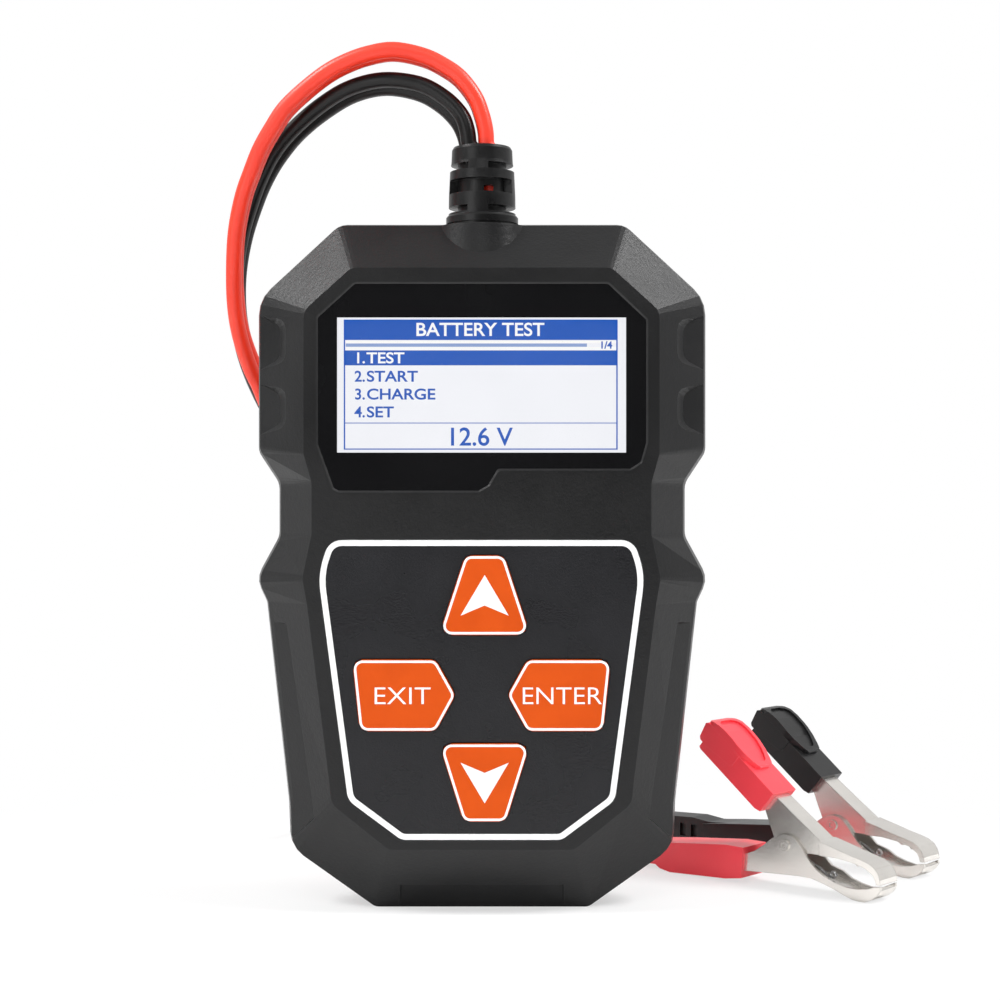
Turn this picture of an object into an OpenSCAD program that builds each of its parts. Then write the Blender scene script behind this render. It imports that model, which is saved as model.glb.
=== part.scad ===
// Handheld 12 V battery tester with two clamp leads.
// Stands upright on its short lower edge: front faces -Y, height is +Z, origin under its middle.
// Two half shells meet at y = 0; the leads leave the top boot and lie with their clips on the ground.

/* [Body] */
// Shell width across the widest shoulders
body_w = 80; // [74:1:92]
// Shell height without the cord boot
body_h = 121.3; // [114:0.1:136]
// Depth from the keypad face to the back face
body_d = 24; // [22:0.5:32]
// Shell wall
wall = 2; // [1.6:0.1:2.4]
// Depth of the flat edge band before the bevel starts
band = 4; // [3:0.25:5]

/* [Keys] */
// How far a key stands proud of the overlay
key_proud = 0.6; // [0.4:0.1:0.9]
// Running gap round each key
key_gap = 0.15; // [0.1:0.05:0.3]
// Key travel
key_travel = 0.5; // [0.3:0.05:0.6]

/* [Leads] */
// Width of one insulated strand
strand = 2.9; // [2.4:0.1:3]
// Outer radius of the boot's base ring
boot_r = 6.45; // [6.2:0.05:7]

/* [Clips] */
// Metal thickness of the clip arms
sheet = 0.6; // [0.5:0.05:0.8]
// Width of the clip arms
clip_w = 6; // [5.6:0.1:7]
// Rivet shaft radius
rivet_r = 0.7; // [0.6:0.05:0.9]
// Running gap at the rivet
pivot_gap = 0.05; // [0.03:0.01:0.1]
// Gap between the ears of the two arms
ear_gap = 0.1; // [0.08:0.02:0.2]

/* [Hidden] */
sx = body_w / 80;
sz = body_h / 121.3;
yf = -body_d / 2;
dk = body_d - 24;
lens_t = 1.2;
mask_t = 0.3;
over_t = 0.5;
front_t = wall;
bh = body_h;

// ---- outline tools -------------------------------------------------------
function unit(v) = v / norm(v);
// points of one rounded corner, always n + 1 of them
function corner(p, a, b, r, n) =
  let (u = unit(a - p), w = unit(b - p), t = acos(max(-1, min(1, u * w))),
       m = unit(u + w), c = p + m * (r / sin(t / 2)),
       q0 = p + u * (r / tan(t / 2)), q1 = p + w * (r / tan(t / 2)),
       a0 = atan2(q0.y - c.y, q0.x - c.x), a1 = atan2(q1.y - c.y, q1.x - c.x),
       da = a1 - a0 > 180 ? a1 - a0 - 360 : a1 - a0 < -180 ? a1 - a0 + 360 : a1 - a0)
  [for (i = [0:n]) c + r * [cos(a0 + da * i / n), sin(a0 + da * i / n)]];
function round_loop(c, r, n) = let (k = len(c))
  [for (i = [0:k - 1]) each corner(c[i], c[(i + k - 1) % k], c[(i + 1) % k], is_list(r) ? r[i] : r, n)];
// mirrored corner list: right half bottom to top, then left half top to bottom
function both(h) = [each h, for (i = [len(h) - 1:-1:0]) [-h[i].x, h[i].y]];
function inset(c, d) = let (k = len(c))
  [for (i = [0:k - 1]) let (p = c[(i + k - 1) % k], q = c[i], s = c[(i + 1) % k],
       e1 = unit(q - p), e2 = unit(s - q), n1 = [-e1.y, e1.x], n2 = [-e2.y, e2.x])
   q + (n1 + n2) * d / (1 + n1 * n2)];
function at(loop, y) = [for (p = loop) [p.x, y, p.y]];
function xz(x, z) = [x * sx, z * sz];

side = [xz(19.1, 0), xz(34.3, 10), xz(34.6, 18.3), xz(38.5, 53.8), xz(40.45, 58),
        xz(36.3, 65.6), xz(36.3, 75), xz(40, 80.6), xz(40, 107.9), xz(25.5, 121.3)];
face = [xz(16, 11.5), xz(26, 19.5), xz(26.3, 23), xz(30.2, 54), xz(31, 58.4),
        xz(29.4, 66), xz(29.4, 75), xz(30.8, 80), xz(30.8, 104.7), xz(22.5, 112.2)];
rs = [2.5, 5, 3, 2, 4, 3.5, 3.5, 3, 6.5, 3.5];
rf = [2, 3, 1, 1, 3, 2.5, 2.5, 1.5, 3, 2.5];
rr = [each rs, each [for (i = [9:-1:0]) rs[i]]];
rq = [each rf, each [for (i = [9:-1:0]) rf[i]]];
cn = 3;
draft = 0.7;
outer_c = both(side);
face_c = both(face);
outer = round_loop(outer_c, rr, cn);
// edge of the band's front: drafted all round, but level with the foot at the bottom
bandl = [for (p = round_loop(inset(outer_c, draft), [for (r = rr) max(0.5, r - 0.4)], cn))
  [p.x, p.y - draft * max(0, min(1, (10 * sz - p.y) / (10 * sz - draft)))]];
facel = round_loop(face_c, rq, cn);
innerl = round_loop(inset(outer_c, wall), [for (r = rr) max(0.3, r - 1)], cn);
iface = round_loop(inset(face_c, 0.2), [for (r = rq) max(0.3, r - 0.3)], cn);

// shell half between the parting plane and the outer face, s = -1 front, 1 rear
module half(s) {
  y0 = 0; y1 = s * band; y2 = s * body_d / 2;
  i1 = s * (band - 0.4 * wall); i2 = s * (body_d / 2 - front_t);
  n = len(outer); h = n / 2;
  pts = [each at(outer, y0), each at(bandl, y1), each at(facel, y2),
         each at(innerl, y0), each at(innerl, i1), each at(iface, i2)];
  function q(a, b, i) = let (j = (i + 1) % n) s < 0 ?
    [[a * n + i, b * n + i, b * n + j], [a * n + i, b * n + j, a * n + j]] :
    [[a * n + i, b * n + j, b * n + i], [a * n + i, a * n + j, b * n + j]];
  function cap(a, f) = [for (i = [0:h - 2]) let (r0 = a * n + i, r1 = a * n + i + 1, l0 = a * n + n - 1 - i, l1 = a * n + n - 2 - i)
    f > 0 ? [r0, r1, l1, l0] : [l0, l1, r1, r0]];
  polyhedron(points = pts, faces = [
    for (i = [0:n - 1]) each q(0, 1, i), for (i = [0:n - 1]) each q(1, 2, i),
    each cap(2, s),
    for (i = [0:n - 1]) each q(3, 0, i), for (i = [0:n - 1]) each q(4, 3, i), for (i = [0:n - 1]) each q(5, 4, i),
    each cap(5, -s)]);
}
// flat prism of an XZ outline between two Y planes
module slab(c, y0, y1) { translate([0, max(y0, y1), 0]) rotate([90, 0, 0]) linear_extrude(abs(y1 - y0)) polygon(c); }
module box(x0, x1, y0, y1, z0, z1) { translate([x0, y0, z0]) cube([x1 - x0, y1 - y0, z1 - z0]); }
module ycyl(x, z, y0, y1, r, f = 32) { translate([x, y1, z]) rotate([90, 0, 0]) cylinder(r = r, h = y1 - y0, $fn = f); }

// ---- front details -------------------------------------------------------
window_h = [xz(28.6, 81.6), xz(28.6, 103.7), xz(22, 109.7)];
lens_c = [xz(-25.8, 73.9), xz(-24.8, 73.3), xz(-0.4, 73.3), xz(1.4, 74.4), xz(3, 77.1), xz(25.8, 77.1), xz(27.8, 78.4), xz(28.8, 81.9),
          xz(28.8, 103.3), xz(22, 109.7), xz(-22, 109.7), xz(-28.6, 103.7), xz(-28.6, 81.6)];
lens_r = [0.4, 0.4, 1.2, 1, 1, 0.8, 0.8, 1, 1, 1, 1, 1, 1];
over_c = both([xz(13.9, 13.1), xz(23.2, 20.0), xz(28.4, 59.2), xz(26.4, 65.2)]);
over_r = [2.5, 3, 13, 3, 3, 13, 3, 2.5];
up_c = [xz(-7.3, 48.7), xz(8.4, 48.7), xz(3.9, 62.4), xz(-2.8, 62.4)];
down_c = [xz(-3.1, 16.5), xz(4.2, 16.5), xz(8.4, 29.9), xz(-7.3, 29.9)];
left_c = [xz(-21, 32.1), xz(-7.9, 32.1), xz(-4.5, 38.3), xz(-7.9, 44.4), xz(-22.3, 44.4)];
right_c = [for (i = [4:-1:0]) [-left_c[i].x, left_c[i].y]];
key_r = 1.6;
keys = [up_c, down_c, left_c, right_c];
dome_at = [xz(0.55, 54.5), xz(0.55, 23.8), xz(-13.2, 38.3), xz(13.2, 38.3)];
case_at = [xz(29.5, 110), xz(-29.5, 110), xz(27.5, 16.4), xz(-27.5, 16.4)];
pcbf = yf + 5.5; pcb_t = 1.6; pcbb = pcbf + pcb_t;
stand_at = [xz(26.5, 69.6), xz(-26.5, 69.6), xz(19.3, 26), xz(-19.3, 26)];

// cutter between two loops of the same length, a below and b above
module loft(a, b) {
  n = len(a);
  polyhedron(points = concat(a, b), faces = [[for (i = [n - 1:-1:0]) i], [for (i = [0:n - 1]) n + i],
    for (i = [0:n - 1]) let (j = (i + 1) % n) each [[i, n + j, n + i], [i, j, n + j]]]);
}
// finger pocket: floor tilted by the angle a from the band edge, sloped walls of height h
module pocket(s, x0, tilt, a, h, low, high, r0, r1) {
  e = [-cos(a), -sin(a)]; u = [sin(a), -cos(a)];
  function place(l, k) = [for (p = l) [x0 + e.x * p.x + u.x * k, -band + e.y * p.x + u.y * k, p.y]];
  mirror([s < 0 ? 1 : 0, 0, 0]) rotate([0, tilt, 0])
    loft(place(round_loop(low, r0, 3), 0), place(round_loop(high, r1, 3), h));
}
module scallop(s, z0, z1) {
  m = (z0 + z1) / 2 * sz; h = (z1 - z0) / 2 * sz;
  a = atan2(body_d / 2 - band, body_w / 2 - draft - 30.8 * sx) - 13;
  translate([0, 0, m]) pocket(s, body_w / 2 - draft, 0, a, 3, [[-1.5, h + 0.5], [-1.5, -h - 0.5], [4.5, 2 - h], [4.5, h - 2]],
    [[-1.5, h + 2.3], [-1.5, -h - 2.3], [9, 0.2 - h], [9, h - 0.2]], [0.3, 0.3, 2.1, 2.1], [0.3, 0.3, 2.8, 2.8]);
}
module grip_cut(s) {
  a = atan2(body_d / 2 - band, 7.7 * sx) - 8;
  translate([0, 0, 36 * sz]) pocket(s, 36.5 * sx - draft, atan2(3.9 * sx, 35.5 * sz), a, 2.5,
    [[-1.5, 18.6], [-1.5, -19.6], [0.4, -19.6], [6.2, -16], [4.5, 17.8]], [[-1.5, 20.8], [-1.5, -21.2], [0.6, -21.2], [6.9, -17.2], [5.0, 19.8]],
    [0.3, 0.3, 0.3, 0.8, 0.8], [0.3, 0.3, 0.4, 1, 1]);
}
module bottom_cut() {
  k = (body_d / 2 - band) / 11.5;
  rotate([90, 0, 90]) translate([0, 0, -14.4 * sx]) linear_extrude(28.8 * sx)
    polygon([[-band - 5 * k - 1, 4.5], [-band - 4.5 * k + 1, 4.5], [-band + 0.1, -0.2], [-band - 5 * k - 1, -0.2]]);
}
module boss_half(s) {
  rotate([0, 0, s < 0 ? 180 : 0]) rotate_extrude(angle = 180, $fn = 64)
    polygon([[0, bh - 9.5], [9.7, bh - 9.5], [8.3, bh - draft], [0, bh - draft]]);
}
module boss_bore() {
  translate([0, 0, bh - 2]) cylinder(r = boot_r - 0.2, h = 4, $fn = 64);
  translate([0, 0, bh - 11]) cylinder(r = 7.5, h = 9, $fn = 64);
}

module front_shell() color([0.13, 0.13, 0.14]) difference() {
  union() {
    half(-1);
    boss_half(-1);
    for (c = case_at) ycyl(c.x, c.y, -6.2 * body_d / 24, 0, 2.6, 24);
    for (c = stand_at) ycyl(c.x, c.y, yf + front_t - 0.4, pcbf, 2, 24);
  }
  boss_bore();
  slab(round_loop(lens_c, lens_r, 2), yf - 1, yf + 1.6);
  box(-26.5 * sx, 26.5 * sx, yf, yf + 3, 79 * sz, 105.4 * sz);
  slab(round_loop(over_c, over_r, 3), yf - 1, yf + 0.6);
  for (k = keys) slab(round_loop(inset(k, -key_gap), key_r, 2), yf - 1, yf + 4);
  for (s = [-1, 1]) { scallop(s, 94.9, 104.7); scallop(s, 83.4, 92.7); grip_cut(s); }
  bottom_cut();
  for (c = case_at) ycyl(c.x, c.y, -5, 1, 1, 24);
  for (c = stand_at) ycyl(c.x, c.y, pcbf - 3, pcbf + 1, 0.8, 16);
}

grip_y = 3; grip_x = 7;
module rear_shell() color([0.13, 0.13, 0.14]) difference() {
  union() {
    half(1);
    boss_half(1);
    for (c = case_at) ycyl(c.x, c.y, 0, 6.8, 3.3, 24);
    box(-9.5, 9.5, strand, body_d / 2 - wall + 0.3, (bh - 15.3), (bh - 9.4));
    for (i = [0:4]) box((i - 13) * sx, (13 - i) * sx, body_d / 2 - 0.5, body_d / 2 + key_proud, (42 - 4 * i) * sz, (43.6 - 4 * i) * sz);
  }
  boss_bore();
  for (c = case_at) { ycyl(c.x, c.y, -1, 14, 1.3, 24); ycyl(c.x, c.y, 3, body_d, 2.5, 24); }
  for (s = [-1, 1]) ycyl(s * grip_x, bh - 12.3, 0, 8.5, 0.8, 16);
}
module case_screws() color([0.55, 0.56, 0.58]) for (c = case_at) difference() {
  union() { ycyl(c.x, c.y, -4.6, 3.2, 1, 24); ycyl(c.x, c.y, 3, 4.6, 2.2, 24); }
  box(c.x - 0.3, c.x + 0.3, 4, 5, c.y - 1.5, c.y + 1.5);
  box(c.x - 1.5, c.x + 1.5, 4, 5, c.y - 0.3, c.y + 0.3);
}
module window_lens() color([0.05, 0.05, 0.06, 0.6]) slab(round_loop(inset(lens_c, 0.1), lens_r, 2), yf + 0.1, yf + 0.1 + lens_t);
module window_mask() color([0.02, 0.02, 0.02]) difference() {
  slab(round_loop(inset(lens_c, 0.1), lens_r, 2), yf + 1.3, yf + 1.6);
  box(-25.1 * sx, 25.1 * sx, yf, yf + 3, 80.2 * sz, 103.7 * sz);
}
module lcd_frame() color([0.75, 0.75, 0.72]) difference() {
  box(-28 * sx, 28 * sx, yf + 2.05, pcbf, 77.4 * sz, 105.6 * sz);
  box(-26.3 * sx, 26.3 * sx, yf, 0, 79.1 * sz, 104.9 * sz);
}
module lcd_panel() color([0.6, 0.7, 0.85]) box(-26.2 * sx, 26.2 * sx, yf + 1.7, yf + 3, 79.2 * sz, 104.8 * sz);
module lcd_backlight() color([0.95, 0.95, 0.92]) box(-26.2 * sx, 26.2 * sx, yf + 3, pcbf, 79.2 * sz, 104.8 * sz);
module keypad_overlay() color([0.05, 0.05, 0.06]) difference() {
  slab(round_loop(inset(over_c, 0.1), over_r, 3), yf + 0.1, yf + 0.1 + over_t);
  for (k = keys) slab(round_loop(inset(k, -key_gap), key_r, 2), yf - 1, yf + 4);
}
module key(k, p) color([0.92, 0.36, 0.13]) {
  slab(round_loop(k, key_r, 2), yf - key_proud, yf + front_t + 0.2);
  slab(round_loop(inset(k, -0.9), key_r, 2), yf + front_t + 0.1, yf + front_t + 0.9);
  ycyl(p.x, p.y, yf + front_t + 0.8, pcbf - 0.5 - key_travel - 0.1, 1.5, 24);
}
module snap_domes() color([0.8, 0.8, 0.78]) for (p = dome_at) translate([p.x, pcbf, p.y]) rotate([90, 0, 0])
  rotate_extrude($fn = 32) polygon([[0, 0], [3, 0], [3, 0.1], [2.2, 0.35], [1.2, 0.5], [0, 0.5]]);
module pcb() color([0.05, 0.35, 0.18]) difference() {
  slab([xz(-24, 21.5), xz(24, 21.5), xz(28, 28), xz(28, 75), xz(30, 79), xz(30, 105.7), xz(-30, 105.7), xz(-30, 79), xz(-28, 75), xz(-28, 28)], pcbf, pcbb);
  for (c = stand_at) ycyl(c.x, c.y, pcbf - 1, pcbb + 1, 1, 24);
}
module pcb_screws() color([0.6, 0.6, 0.62]) for (c = stand_at) difference() {
  union() { ycyl(c.x, c.y, pcbf - 2.6, pcbb + 0.2, 0.8, 16); ycyl(c.x, c.y, pcbb, pcbb + 1.2, head_r, 24); }
  box(c.x - 1.2, c.x + 1.2, pcbb + 0.8, pcbb + 2, c.y - 0.25, c.y + 0.25);
}
module mcu_chip() color([0.1, 0.1, 0.1]) {
  box(-6, 6, pcbb + 0.2, pcbb + 1.7, 86 * sz - 6, 86 * sz + 6);
  color([0.75, 0.75, 0.75]) for (a = [0:3]) translate([0, 0, 86 * sz]) rotate([0, 90 * a, 0]) for (i = [-3:3])
    box(i * 1.5 - 0.3, i * 1.5 + 0.3, pcbb, pcbb + 0.5, 5.8, 7.4);
}
module measuring_chips() color([0.12, 0.12, 0.12]) {
  box(-20, -14, pcbb, pcbb + 1.5, 83 * sz, 83 * sz + 5);
  box(13, 19, pcbb, pcbb + 1.5, 90 * sz, 90 * sz + 5);
  box(-4, 2, pcbb, pcbb + 1.5, 68 * sz, 68 * sz + 5);
}
module load_resistor() color([0.85, 0.83, 0.78]) {
  box(-20, 20, pcbb + 0.6, pcbb + 8.6, 48 * sz, 48 * sz + 9);
  color([0.7, 0.7, 0.7]) for (x = [-18.5, 18.5]) { ycyl(x, 48 * sz + 4.5, pcbb - 0.3, pcbb + 1, 0.5, 16); box(x - 1.2, x + 1.2, pcbb, pcbb + 0.7, 48 * sz + 3.3, 48 * sz + 5.7); }
}
module mosfets() color([0.1, 0.1, 0.1]) for (x = [-15, -2.5, 10]) {
  box(x, x + 6.5, pcbb, pcbb + 2.3, 36 * sz, 36 * sz + 6);
  color([0.75, 0.75, 0.75]) box(x + 0.6, x + 5.9, pcbb, pcbb + 0.5, 36 * sz - 2.4, 36 * sz + 0.3);
}
cap_r = 3.1; head_r = 1.8;
cap_x = stand_at[0].x - head_r - cap_r - 0.6;
module capacitors() color([0.15, 0.17, 0.3]) for (p = [[cap_x, 70], [-cap_x, 62], [cap_x, 78]])
  ycyl(p.x, p.y * sz, pcbb, pcbb + 7, cap_r, 32);
module buzzer() color([0.08, 0.08, 0.08]) difference() {
  ycyl(-10, 76 * sz, pcbb, pcbb + 5.5, 5.5, 40);
  ycyl(-10, 76 * sz, pcbb + 4.5, pcbb + 6, 1, 20);
}
lead_z = bh - 16.3;
module wires(s) for (y = [-1, 1]) {
  x = s * strand / 2; yy = y * strand / 2; zz = lead_z - (y < 0 ? 3 : 6);
  translate([x, yy, zz]) cylinder(r = 0.8, h = lead_z - zz, $fn = 16);
  ycyl(x, zz, pcbb, yy + 0.8, 0.8, 16);
}
module inner_wires_red() color([0.8, 0.1, 0.08]) wires(1);
module inner_wires_black() color([0.06, 0.06, 0.06]) wires(-1);
module cord_grip() color([0.1, 0.1, 0.1]) difference() {
  box(-9.3, 9.3, -strand - 1.7, strand, bh - 15.2, bh - 9.5);
  box(-strand, strand, -strand, strand + 1, bh - 16, bh - 9);
  for (s = [-1, 1]) ycyl(s * grip_x, bh - 12.3, -9, 9, 1, 24);
}
module grip_screws() color([0.6, 0.6, 0.62]) for (s = [-1, 1]) {
  difference() {
    union() { ycyl(s * grip_x, bh - 12.3, -strand - 1.8, 8, 0.8, 16); ycyl(s * grip_x, bh - 12.3, -strand - 2.7, -strand - 1.7, 1.6, 24); }
    box(s * grip_x - 1.1, s * grip_x + 1.1, -strand - 3, -strand - 2.2, bh - 12.5, bh - 12.1);
  }
}
boot_top = bh + 13.7;
// one flex slot round the boot: centre angle, half width in degrees, heights, depth radius
module flex_slot(c, w, z0, z1, d) {
  rotate([0, 0, c]) difference() {
    translate([0, 0, z0]) linear_extrude(z1 - z0) polygon([[0, 0], [9 * cos(w), -9 * sin(w)], [9, -9], [9, 9], [9 * cos(w), 9 * sin(w)]]);
    translate([0, 0, z0 - 1]) cylinder(r = d, h = z1 - z0 + 2, $fn = 64);
  }
}
module cord_boot() color([0.12, 0.12, 0.13]) difference() {
  rotate_extrude($fn = 64) polygon([[0, bh - 4.2], [7.3, bh - 4.2], [7.3, bh - 2], [boot_r - 0.3, bh - 2], [boot_r - 0.3, bh], [boot_r, bh],
    [boot_r, bh + 1.1], [boot_r - 0.25, bh + 1.4], [6, bh + 1.5], [5.95, bh + 5], [5.75, bh + 9.3], [5.5, bh + 11], [5.4, boot_top - 0.5], [5.1, boot_top], [0, boot_top]]);
  box(-strand, strand, -strand, strand, bh - 5, bh + 11.3);
  translate([0, 0, bh + 11]) cylinder(r = 4.5, h = 4, $fn = 48);
  // slots to the left and right below and above, front and back between them
  for (c = [-7, 173]) {
    flex_slot(c, 72, bh + 1.8, bh + 2.9, 4.3);
    flex_slot(c - 90, 72, bh + 5.2, bh + 7.7, 4.3);
    flex_slot(c, 72, bh + 9.3, bh + 10.5, 4.3);
  }
  // mould-pin holes, which show the strands
  box(0.3, 2, -5, -2, bh + 5.5, bh + 6.5);
  }

// ---- leads ---------------------------------------------------------------
// route points: x, y, z and the direction of the wide side
rx = strand / 2;
red_route = [[rx, 0, lead_z, 0, 1, 0], [rx, 0, bh + 10.7, 0, 1, 0], [0.8, 0, bh + 13.8, 0, 1, 0], [0.6, 0, 138, 0, 1, 0], [-0.1, 0, 141, 0, 1, 0],
  [-1.3, 0, 144, 0, 1, 0], [-3.8, 0, 147.3, 0, 1, 0], [-6.7, 0.3, 149.5, 0, 1, 0], [-10.5, 0.6, 151.4, 0, 1, 0], [-15.8, 0.8, 152.5, 0, 1, 0],
  [-20.5, 1.3, 151.9, 0, 1, 0], [-24.6, 2, 150.6, 0, 1, 0], [-28.2, 2.7, 148.8, 0, 1, 0], [-32.2, 3.5, 145.9, 0, 1, 0], [-35.7, 4.4, 142.8, 0, 1, 0],
  [-38, 5.3, 139.7, 0, 1, 0], [-40.4, 6.4, 135.9, 0, 1, 0], [-42.3, 7.5, 131.7, 0, 1, 0], [-44, 8.8, 127.4, 0, 1, 0], [-45.4, 10.4, 121.5, 0, 1, 0],
  [-46, 12, 115, 0, 1, 0], [-46, 13.7, 108.5, 0.05, 1, 0], [-45.3, 15.5, 103, 0.1, 1, 0], [-43.6, 17.8, 97.3, 0.2, 1, 0], [-41.6, 20, 92.8, 0.3, 1, 0],
  [-38.5, 23.5, 84, 0.4, 1, 0], [-35, 27, 72, 0.5, 1, 0], [-31, 30.5, 58, 0.5, 1, 0], [-28, 34, 44, 0.6, 1, 0], [-26.5, 38, 30, 0.8, 0.8, 0],
  [-27, 45, 17, 1, 0.4, 0], [-28, 54, 7.5, 1, 0.1, 0], [-27.8, 64, 2.5, 1, 0, 0], [-25, 73, 1.6, 0.9, -0.4, 0], [-19, 79, 1.6, 0.5, -0.9, 0],
  [-11, 80, 1.6, -0.1, -1, 0], [-3.5, 75.5, 1.7, -0.5, -0.9, 0], [3.5, 67, 1.9, -0.7, -0.7, 0]];
black_route = [[-rx, 0, lead_z, 0, 1, 0], [-rx, 0, bh + 10.7, 0, 1, 0], [-2.4, 0, bh + 13.8, -0.1, 1, 0], [-3, 0, 138, -0.2, 1, -0.1], [-4.2, 0.3, 140.6, -0.3, 1, -0.2],
  [-7, 0.8, 143.5, -0.3, 1, -0.3], [-11.3, 1.6, 146, -0.15, 1, -0.4], [-17.6, 3, 147.2, 0, 1, -0.3], [-23.8, 5.3, 146.3, 0.1, 1, -0.25], [-29.5, 8.4, 143.7, 0.2, 1, -0.2],
  [-34.7, 11, 140, 0.25, 1, -0.1], [-38.4, 13.4, 136.2, 0.25, 1, -0.1], [-41, 14.6, 132, 0.2, 1, 0], [-43, 15.6, 127.5, 0.15, 1, 0], [-45, 16.5, 121.5, 0.1, 1, 0],
  [-46.3, 18.2, 115, 0.05, 1, 0], [-46.6, 20, 108.5, 0.05, 1, 0], [-46, 21.8, 103, 0.1, 1, 0], [-44.6, 24.3, 97.5, 0.2, 1, 0], [-42.2, 27.5, 91.5, 0.3, 1, 0],
  [-37.6, 31.5, 82, 0.4, 1, 0], [-34.6, 35.5, 69, 0.5, 1, 0], [-33.8, 40, 54, 0.5, 1, 0], [-34, 44.5, 39, 0.6, 1, 0], [-35, 50.5, 25, 0.9, 0.6, 0],
  [-35.3, 59, 13, 1, 0.3, 0], [-35, 70, 5, 1, 0.1, 0], [-32.5, 81, 1.8, 1, -0.3, 0], [-26, 91, 1.6, 0.8, -0.7, 0], [-16, 97, 1.6, 0.3, -1, 0],
  [-5, 97.5, 1.6, -0.2, -1, 0], [6, 93.5, 1.7, -0.5, -0.9, 0], [16, 85.5, 2, -0.6, -0.8, 0]];
tail_u = -62; tail_v = 3.2;
psi = 41;
function clip_pt(o, u, w, v) = o + [u * cos(psi) + w * sin(psi), -u * sin(psi) + w * cos(psi), v];
red_at = [68.1, -0.4, 0];
black_at = [80.7, 21.1, 0];
function full(route, o) = [each route,
  [each clip_pt(o, tail_u - 9, clip_w / 2, tail_v - 0.6), -sin(psi), -cos(psi), 0], [each clip_pt(o, tail_u, clip_w / 2, tail_v), -sin(psi), -cos(psi), 0]];
sec = [for (p = [[1, 0.25], [0.8, 0.5], [-0.8, 0.5], [-1, 0.25], [-1, -0.25], [-0.8, -0.5], [0.8, -0.5], [1, -0.25]]) [p.x * strand, p.y * strand]];
module sweep(r, last) {
  n = len(r);
  pos = [for (p = r) [p[0], p[1], p[2]]];
  tan_ = [for (i = [0:n - 1]) i == 0 ? [0, 0, 1] : i == n - 1 ? last : unit(unit(pos[i + 1] - pos[i]) + unit(pos[i] - pos[i - 1]))];
  pts = [for (i = [0:n - 1]) let (w0 = [r[i][3], r[i][4], r[i][5]], w = unit(w0 - (w0 * tan_[i]) * tan_[i]), t = cross(tan_[i], w))
    for (s = sec) pos[i] + w * s.x + t * s.y];
  polyhedron(points = pts, faces = [[for (k = [0:7]) k], [for (k = [7:-1:0]) (n - 1) * 8 + k],
    for (i = [0:n - 2], k = [0:7]) let (m = (k + 1) % 8) each [[i * 8 + k, (i + 1) * 8 + k, (i + 1) * 8 + m], [i * 8 + k, (i + 1) * 8 + m, i * 8 + m]]]);
}
tail_dir = [cos(psi), -sin(psi), 0];
module red_lead() color([0.9, 0.13, 0.06]) sweep(full(red_route, red_at), tail_dir);
module black_lead() color([0.05, 0.05, 0.05]) sweep(full(black_route, black_at), tail_dir);

// ---- clips ---------------------------------------------------------------
// clip frame: x along the jaw, y across, z up; the belly touches the ground at x = 0
module clip_frame(o) { translate(o) rotate([0, 0, -psi]) children(); }
module plate(c, w0, w1) { translate([0, w1, 0]) rotate([90, 0, 0]) linear_extrude(w1 - w0) polygon(c); }
pu = -16.4; pv = 8.3;
low_out = [[-42, 2.0], [-25, 2.45], [-17, 2.8], [-13.5, 2.95], [-10.7, 2.85], [-8.5, 2.3], [-6.2, 1.6], [-4, 0.75], [-2.2, 0.15], [-1, 0], [0.4, 0], [1.85, 0.6], [2.9, 1.4], [3.6, 2.5]];
low_in = [[3.2, 2.9], [2.4, 1.9], [1.5, 1.2], [0.2, 0.62], [-0.9, 0.62], [-2, 0.75], [-3.7, 1.4], [-5.9, 2.2], [-8.3, 2.95], [-10.6, 3.46], [-13.6, 3.56], [-17, 3.4], [-25, 3.05], [-42, 2.6]];
low_jaw = [[3.5, 3.15], [2.3, 2.95], [0.8, 2.4], [-1.3, 2.1], [-3.4, 2.2], [-5.5, 2.66], [-8, 3.6], [-9.7, 4.6], [-11, 5.9], [-12, 7.1], [-12.9, 8.3], [-13.9, 9.4], [-15.2, 10.1], [-16.6, 10.25], [-18.2, 9.8], [-19.4, 9], [-20.8, 7.9], [-23, 6.4], [-25, 5.6], [-42, 4.8]];
// saw teeth on the far wall of the upper jaw: pitch, depth and number
tooth_p = 1.25; tooth_d = 0.9; tooth_n = 4;
low_far = [[3.5, 3.15], [2.3, 2.6], [0.8, 1.9], [-1.3, 1.7], [-3.4, 2.1], [-5.5, 2.8], [-7.3, 3.9], for (p = low_jaw) if (p.x < -9) p];
up_top = [[-31.4, 27.55], [-18.95, 17.1], [-12.8, 12.5], [-9.2, 9.85], [-5.2, 8.75], [-2.8, 8.05], [-0.5, 7.5], [1.3, 6.95], [2.5, 6.2], [3.2, 5.2], [3.5, 4.3], [3.6, 3.4]];
up_in = [[3, 3.4], [2.92, 4.2], [2.65, 4.95], [2.1, 5.75], [1.1, 6.38], [-0.7, 6.92], [-3, 7.45], [-5.4, 8.15], [-9.5, 9.3], [-13.15, 12.0], [-19.3, 16.6], [-31.75, 27.1]];
up_jaw = [[3.4, 3.4], [2.7, 3.4], [2.5, 4.1], [2.05, 5.05], [0.4, 6.1], [-2.1, 6.75], [-5.5, 7.2], [-9, 7.2]];
up_teeth = [[3.4, 3.4], [2.7, 3.4], [2.5, 4.3], for (i = [0:tooth_n - 1]) let (u = 1.6 - tooth_p * i, v = lookup(u, [[-3.5, 4.6], [1.6, 4.0]]))
  each [[u, v], [u - tooth_p * 0.45, v + tooth_d]], [-4.2, 5.1], [-7, 6.9], [-9, 7.2]];
up_rear = [[-11.6, 7.2], [-13, 6.5], [-15, 6.0], [-17.6, 6.2], [-18.6, 8.0], [-19.4, 10.1], [-20.3, 12.3], [-21.1, 14.4], [-33.6, 24.8], [-31.4, 27.55]];

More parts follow.
